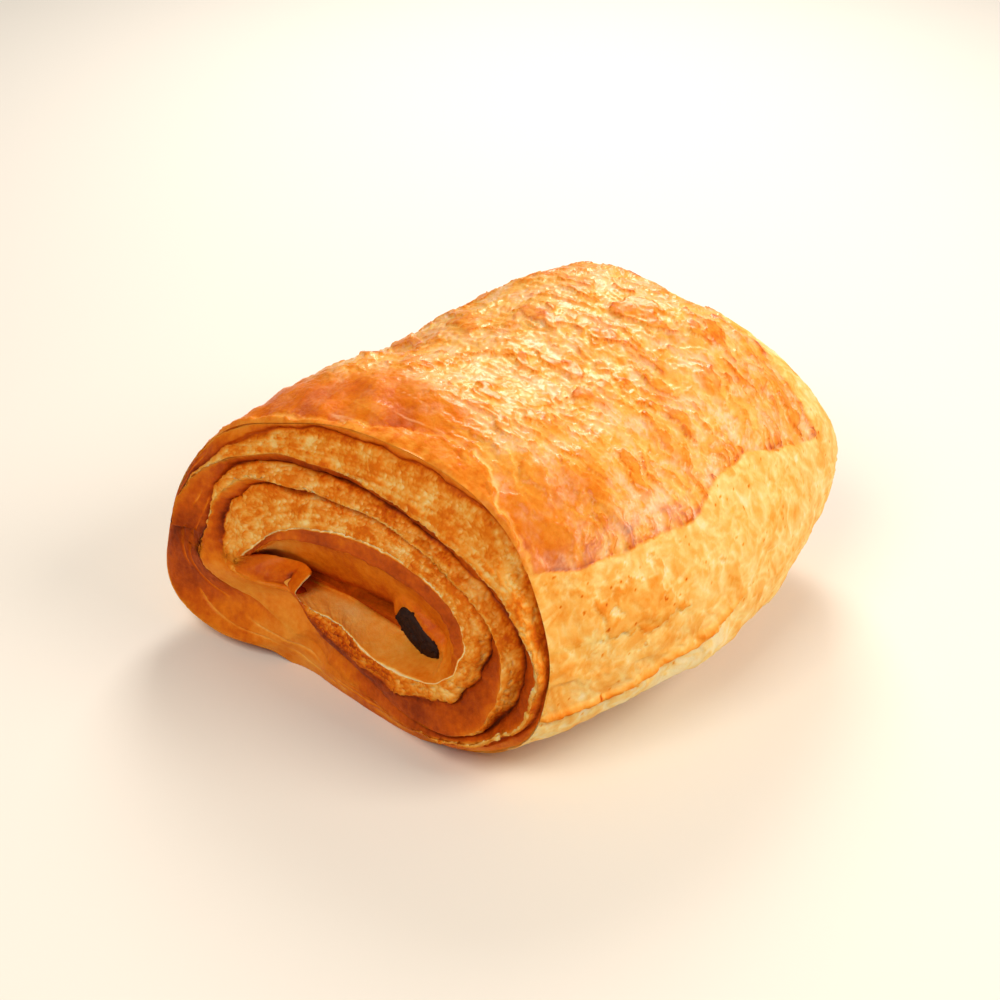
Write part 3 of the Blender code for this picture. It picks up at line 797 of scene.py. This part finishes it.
pale_bake = pale_bake - 0.12 * veins - 0.07 * fine_veins + 0.12 * scar - 0.14 * scar_rim
speck = ease(noise(lay, (0.9, 0.9), 107), 0.98, 1.06)
# The crease is painted darker: painted shade under the overhanging roll. The paler lip and the specks are the
# dough's own.
pale_bake = pale_bake + 0.05 * side_low - 0.16 * base_lip + 0.22 * crease + 0.35 * speck
film_bake = FILM_BAKE + 0.05 * rough(lay, (9.0, 9.0), 92, 2) + 0.09 * rough(lay, (1.8, 3.0), 97)
film_bake = film_bake + 0.13 * split + 0.13 * split_shade - 0.24 * split_rim - 0.07 * wrinkle
film_bake = film_bake - 0.16 * wide_edge * wide_patch - 0.12 * small_edge * small_patch
smooth_bake = SMOOTH_BAKE + 0.07 * rough(lay, (6.0, 8.0), 109) + 0.05 * blister - 0.10 * straight_lines
washed_bake = mix(film_bake, smooth_bake, smooth_near)
torn_bake = TORN_BAKE + 0.10 * rough(lay, (1.6, 1.6), 113)
washed_bake = mix(washed_bake - 0.26 * torn_rim, torn_bake, film_gone)
brush_edge = bump(wash_inside, 0.5, 0.8) * ease(rough(lay, (6.0, 6.0), 98), -0.5, 0.3)
washed_bake = washed_bake + 0.5 * blush + 0.20 * brush_edge
bake = mix(pale_bake, washed_bake, washed)
under = ease(-np.sin(angle) + 0 * x, 0.55, 0.9) * (1 - ease(b, 2.0, 6.0))
bake = mix(bake, UNDERSIDE_BAKE + 0.06 * rough(lay, (5.0, 5.0), 93), under)

end_skin_bake = look["skin bake"] + 0.06 * noise(solid, (6.0, 6.0, 6.0), 94)
end_skin_bake = end_skin_bake + 0.04 * rough(solid, (1.5, 1.5, 1.5), 99)
# The front of the tongue, a face turned away from the light, is painted darker: painted shade.
tongue_front_shade = bump(look["unwound"], 75.0, 45.0) * (1 - ease(look["distance"], 22.0, 30.0))
crumb_bake = mix(*CRUMB_BAKE, crumb_tone_and_painted_light) + TONGUE_PAINTED_SHADE * tongue_front_shade
crumb_bake = crumb_bake + 0.06 * rough(solid, (3.0, 3.0, 3.0), 95)
end_bake = mix(end_skin_bake, crumb_bake, look["crumb"])
# The lips are paler, and the gaps between the wraps are painted darker: painted shade.
end_bake = end_bake - LIP_PALER * look["lip"] + GAP_PAINTED_SHADE * look["gap"]
bake = mix(end_bake, bake, on_skin)
# The veil: pale lifted film, and painted highlight on its raised curls and wrinkles and, by the near end, on the
# fine straight lines as painted highlight streaks.
veil_and_highlight = (0.75 * fine_curl + 0.5 * wrinkle) * ease(rough(lay, (5.0, 6.0), 115), -0.3, 0.5)
veil_and_highlight = veil_and_highlight * broken * (1 - 0.8 * split) + blush
veil_and_highlight = veil_and_highlight + 0.5 * straight_lines * smooth_near * ease(noise(lay, (9.0, 9.0), 117), 0.0, 0.3)
veil_and_highlight = np.clip(veil_and_highlight, 0.0, 1.0) * (1 - film_gone)
gloss = mix(0.15 * (1 - look["crumb"]), 0.05 + washed * (0.85 - 0.4 * smooth_near), on_skin)


# The dough as one closed skin. It is a grid whose two sides meet on the pale long side and whose two ends are
# drawn together in the two hearts. The places worked out above become its vertices.
WELD = 0.0001 * MM


def framed(place):
    """Places in the drawing, in millimetres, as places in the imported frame, in metres."""
    return (place - np.array(BOX_MIDDLE)) * MM


def grid_piece(name, rows, columns):
    """A flat grid of vertices, with each vertex's row and column."""
    bpy.ops.object.select_all(action="DESELECT")
    bpy.ops.mesh.primitive_grid_add(x_subdivisions=columns - 1, y_subdivisions=rows - 1, size=2.0)
    piece = bpy.context.object
    piece.name = name
    co = np.empty(len(piece.data.vertices) * 3)
    piece.data.vertices.foreach_get("co", co)
    share = (co.reshape(-1, 3)[:, :2] + 1.0) / 2.0
    return piece, np.rint(share[:, 1] * (rows - 1)).astype(int), np.rint(share[:, 0] * (columns - 1)).astype(int)


def give_attribute(mesh, name, values):
    mesh.attributes.new(name, "FLOAT", "POINT").data.foreach_set("value", np.asarray(values, dtype=np.float32))


dough, vertex_row, vertex_column = grid_piece("dough", ROWS + 2, COLUMNS + 1)
row_inside = np.clip(vertex_row - 1, 0, ROWS - 1)
column_inside = vertex_column % COLUMNS
vertex_place = place[row_inside, column_inside]
vertex_place[vertex_row == 0] = place[0].mean(axis=0)
vertex_place[vertex_row == ROWS + 1] = place[-1].mean(axis=0)
dough.data.vertices.foreach_set("co", framed(vertex_place).ravel())
for name, values in {"bake": bake, "gloss": gloss, "veil_and_highlight": veil_and_highlight}.items():
    give_attribute(dough.data, name, values[row_inside, column_inside])
dough.data.update()

# Baked laminated dough. The eye sees a skin that browns from cream through gold and orange to red-brown, under a
# clear, slightly glossy film of egg where it was brushed. Thin leaves and crumb let light through.
MOTTLES_PER_MM = 0.9
GRIT_PER_MM = 2.6
MOTTLE_STRENGTH = 0.22
LIFTED_FILM_AND_HIGHLIGHT = "#FBD2AE"
BAKE_COLOURS = [
    (0.0, "#F6E3B4"), (1.0, "#2E0E02"), (0.14, "#F5D184"), (0.28, "#F2B558"), (0.42, "#EC9730"),
    (0.55, "#E0770C"), (0.67, "#C45402"), (0.80, "#943601"), (0.90, "#601E01"),
]
dough_material, tree, shader = new_material("baked laminated dough")
place_read = add_node(tree, "ShaderNodeTexCoord")
baked = add_node(tree, "ShaderNodeAttribute", attribute_name="bake")
glossy = add_node(tree, "ShaderNodeAttribute", attribute_name="gloss")
mottle = add_node(
    tree,
    "ShaderNodeTexNoise",
    {"Vector": place_read.outputs["Object"], "Scale": MOTTLES_PER_MM / MM, "Detail": 6.0, "Roughness": 0.65},
)
mottled = add_node(
    tree,
    "ShaderNodeMath",
    {0: mottle.outputs["Fac"], 1: MOTTLE_STRENGTH, 2: baked.outputs["Fac"]},
    operation="MULTIPLY_ADD",
)
levelled = add_node(
    tree, "ShaderNodeMath", {0: mottled.outputs[0], 1: MOTTLE_STRENGTH / 2}, operation="SUBTRACT"
)
ramp = add_node(tree, "ShaderNodeValToRGB", {"Fac": levelled.outputs[0]}, BAKE_COLOURS)
# The veil's colour: pale lifted film, and painted highlight on the crust's curls and wrinkles.
veil_and_highlight_read = add_node(tree, "ShaderNodeAttribute", attribute_name="veil_and_highlight")
veil_and_highlight_share = add_node(tree, "ShaderNodeMath", {0: veil_and_highlight_read.outputs["Fac"], 1: 0.7}, operation="MULTIPLY")
skin_colour = add_node(
    tree,
    "ShaderNodeMixRGB",
    {"Fac": veil_and_highlight_share.outputs[0], "Color1": ramp.outputs["Color"], "Color2": linear(LIFTED_FILM_AND_HIGHLIGHT)},
)
tree.links.new(skin_colour.outputs["Color"], shader.inputs["Base Color"])
roughness = add_node(
    tree,
    "ShaderNodeMapRange",
    {"Value": glossy.outputs["Fac"], "To Min": 0.60, "To Max": 0.30},
)
tree.links.new(roughness.outputs["Result"], shader.inputs["Roughness"])
grit = add_node(
    tree,
    "ShaderNodeTexNoise",
    {"Vector": place_read.outputs["Object"], "Scale": GRIT_PER_MM / MM, "Detail": 4.0},
)
grit_bump = add_node(
    tree, "ShaderNodeBump", {"Height": grit.outputs["Fac"], "Strength": 0.6, "Distance": 0.16 * MM}
)
tree.links.new(grit_bump.outputs["Normal"], shader.inputs["Normal"])
shader.inputs["IOR"].default_value = 1.45
shader.inputs["Subsurface Weight"].default_value = 0.22
shader.inputs["Subsurface Radius"].default_value = (1.0, 0.42, 0.14)
shader.inputs["Subsurface Scale"].default_value = 1.6 * MM
film = add_node(tree, "ShaderNodeMath", {0: glossy.outputs["Fac"], 1: 0.32}, operation="MULTIPLY")
tree.links.new(film.outputs[0], shader.inputs["Coat Weight"])
shader.inputs["Coat Roughness"].default_value = 0.18
shader.inputs["Specular IOR Level"].default_value = 0.1

# The one skin is cut into pieces along lines that the roll has: the edge of its outer wrap and the rims of its
# cut ends, and round the body where the brushed crust ends. Each piece is closed by a cone to the roll's core.
CRUST_DEGREES = (10.0, 165.0)
SIDE_DEGREES = 290.0
PIECES = (
    "underside_and_back",
    "near_inner_wraps",
    "near_outer_wrap",
    "washed_crust",
    "pale_long_side",
    "far_cut_end",
)
CORE = framed(np.array([0.0, -WRAP_AXIS[0], WRAP_AXIS[1]]))
corners = np.empty(4 * len(dough.data.polygons), dtype=np.int64)
dough.data.polygons.foreach_get("vertices", corners)
corners = corners.reshape(-1, 4)
face_row = vertex_row[corners].min(axis=1) - 1
face_degrees = np.degrees(angle)[vertex_column[corners].min(axis=1) % COLUMNS]
on_crust = (face_degrees >= CRUST_DEGREES[0]) & (face_degrees < CRUST_DEGREES[1])
on_side = (face_degrees < CRUST_DEGREES[0]) | (face_degrees >= SIDE_DEGREES)
number_of = {name: number for number, name in enumerate(PIECES)}
face_piece = np.full(len(face_row), number_of["underside_and_back"])
face_piece[on_side] = number_of["pale_long_side"]
face_piece[on_crust] = number_of["washed_crust"]
face_piece[face_row < NEAR_ROWS] = number_of["near_outer_wrap"]
face_piece[face_row < NEAR_ROWS - WRAP_ROWS] = number_of["near_inner_wraps"]
face_piece[face_row >= LAST_SKIN_ROW] = number_of["far_cut_end"]
dough.data.attributes.new("piece", "INT", "FACE").data.foreach_set("value", face_piece.astype(np.int32))
dough.data.materials.append(dough_material)
dough.data.shade_smooth()
bpy.ops.object.mode_set(mode="EDIT")
bpy.ops.mesh.select_all(action="SELECT")
bpy.ops.mesh.remove_doubles(threshold=WELD)
bpy.ops.mesh.normals_make_consistent(inside=False)
bpy.ops.object.mode_set(mode="OBJECT")


def cut_off(skin, number, name):
    """Separate the faces of one piece from the skin."""
    kinds = np.empty(len(skin.data.polygons), dtype=np.int32)
    skin.data.attributes["piece"].data.foreach_get("value", kinds)
    bpy.ops.object.mode_set(mode="EDIT")
    bpy.ops.mesh.select_mode(type="FACE")
    bpy.ops.mesh.select_all(action="DESELECT")
    bpy.ops.object.mode_set(mode="OBJECT")
    skin.data.polygons.foreach_set("select", kinds == number)
    bpy.ops.object.mode_set(mode="EDIT")
    bpy.ops.mesh.separate(type="SELECTED")
    bpy.ops.object.mode_set(mode="OBJECT")
    cut = next(obj for obj in bpy.context.selected_objects if obj is not skin)
    cut.name = name
    cut.select_set(False)
    return cut


def close_at_core(piece):
    """Draw a piece's open border together at the core of the roll, where it doesn't show."""
    bpy.ops.object.select_all(action="DESELECT")
    piece.select_set(True)
    bpy.context.view_layer.objects.active = piece
    bpy.ops.object.mode_set(mode="EDIT")
    bpy.ops.mesh.select_mode(type="EDGE")
    bpy.ops.mesh.select_all(action="DESELECT")
    bpy.ops.mesh.select_non_manifold(
        use_wire=False, use_multi_face=False, use_non_contiguous=False, use_verts=False
    )
    bpy.ops.mesh.mark_sharp()
    bpy.ops.mesh.extrude_region_move()
    bpy.ops.mesh.select_mode(type="VERT")
    bpy.ops.mesh.merge(type="CENTER")
    bpy.ops.object.mode_set(mode="OBJECT")
    drawn_together = next(vertex for vertex in piece.data.vertices if vertex.select)
    drawn_together.co = CORE


pieces = [cut_off(dough, number, name) for number, name in enumerate(PIECES) if number]
dough.name = PIECES[0]
for piece in [dough] + pieces:
    close_at_core(piece)
    piece.data.attributes.remove(piece.data.attributes["piece"])
    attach(piece, "root")
    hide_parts("pastry")

# The stick of chocolate: one bar of dark chocolate, melted and set again inside the roll, so that its corners are
# round and its ends dull and pitted. It lies in the bend of the inner wrap and stops short of both cut ends. It is
# made as one closed tube of rounded section, with its two ends drawn in.
STICK_COLUMNS = 120
CAP_ROWS = 36
BAR_ROWS = 40
CAP_ROUND = 0.9
PIT_DEPTH = 0.28
DULL_HEIGHT = 0.22
BLOOMS_PER_MM = 1.4
turn = np.linspace(0.0, 2 * math.pi, STICK_COLUMNS, endpoint=False)
across = STICK_HALF[0] * np.sign(np.cos(turn)) * np.abs(np.cos(turn)) ** (2 / STICK_CORNER)
upright = STICK_HALF[1] * np.sign(np.sin(turn)) * np.abs(np.sin(turn)) ** (2 / STICK_CORNER)
cap = np.sin(np.linspace(0.02, 1.0, CAP_ROWS) * math.pi / 2)
near_stick_x = end_plane(NEAR_END, *STICK_MIDDLE) + STICK_RECESS[0]
far_stick_x = end_plane(FAR_END, *STICK_MIDDLE) - STICK_RECESS[1]
cap_round = CAP_ROUND * (1 - np.sqrt(1 - np.minimum(cap, 0.999) ** 8))
bar_x = np.linspace(near_stick_x + 1.0, far_stick_x - 1.0, BAR_ROWS)
stick_x = np.concatenate([near_stick_x + cap_round, bar_x, (far_stick_x - cap_round)[::-1]])
stick_size = np.concatenate([cap, np.ones(BAR_ROWS), cap[::-1]])[:, None]
stick_a = STICK_MIDDLE[0] + stick_size * (across * math.cos(STICK_TILT) - upright * math.sin(STICK_TILT))
stick_b = STICK_MIDDLE[1] + stick_size * (across * math.sin(STICK_TILT) + upright * math.cos(STICK_TILT))
stick_place = np.stack([stick_x[:, None] + 0 * stick_a, -stick_a, stick_b], axis=-1)
stick_solid = [stick_place[..., i] for i in range(3)]
pit = ease(noise(stick_solid, (0.9, 0.9, 0.9), 121), 0.25, 0.6)
dull = rough(stick_solid, (2.2, 2.2, 2.2), 123, 4)
stick_place = stick_place + outward(stick_place) * (DULL_HEIGHT * dull - PIT_DEPTH * pit)[..., None]
stick, stick_row, stick_column = grid_piece("chocolate_bar", len(stick_x), STICK_COLUMNS + 1)
stick_vertices = stick_place[stick_row, stick_column % STICK_COLUMNS]
for row in (0, len(stick_x) - 1):
    stick_vertices[stick_row == row] = stick_place[row].mean(axis=0)
stick.data.vertices.foreach_set("co", framed(stick_vertices).ravel())
give_attribute(stick.data, "pit", pit[stick_row, stick_column % STICK_COLUMNS])
stick.data.shade_smooth()
bpy.ops.object.mode_set(mode="EDIT")
bpy.ops.mesh.select_all(action="SELECT")
bpy.ops.mesh.remove_doubles(threshold=WELD)
bpy.ops.mesh.normals_make_consistent(inside=False)
bpy.ops.object.mode_set(mode="OBJECT")
# Dark chocolate, melted and set. The eye sees a nearly black brown, dull, with a few pale specks of bloom.
chocolate, tree, shader = new_material("dark chocolate, melted and set")
place_read = add_node(tree, "ShaderNodeTexCoord")
pitted = add_node(tree, "ShaderNodeAttribute", attribute_name="pit")
bloom = add_node(
    tree,
    "ShaderNodeTexNoise",
    {"Vector": place_read.outputs["Object"], "Scale": BLOOMS_PER_MM / MM, "Detail": 4.0},
)
tones = [(0.0, "#1A0A05"), (1.0, "#6B4630"), (0.5, "#2A120A"), (0.66, "#331A10")]
tone = add_node(tree, "ShaderNodeValToRGB", {"Fac": bloom.outputs["Fac"]}, tones)
tree.links.new(tone.outputs["Color"], shader.inputs["Base Color"])
bloom_bump = add_node(
    tree, "ShaderNodeBump", {"Height": bloom.outputs["Fac"], "Strength": 0.5, "Distance": 0.2 * MM}
)
tree.links.new(bloom_bump.outputs["Normal"], shader.inputs["Normal"])
dulled = add_node(tree, "ShaderNodeMapRange", {"Value": pitted.outputs["Fac"], "To Min": 0.62, "To Max": 0.85})
tree.links.new(dulled.outputs["Result"], shader.inputs["Roughness"])
shader.inputs["Specular IOR Level"].default_value = 0.2
stick.data.materials.append(chocolate)
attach(stick, "root")
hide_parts("chocolate_stick")
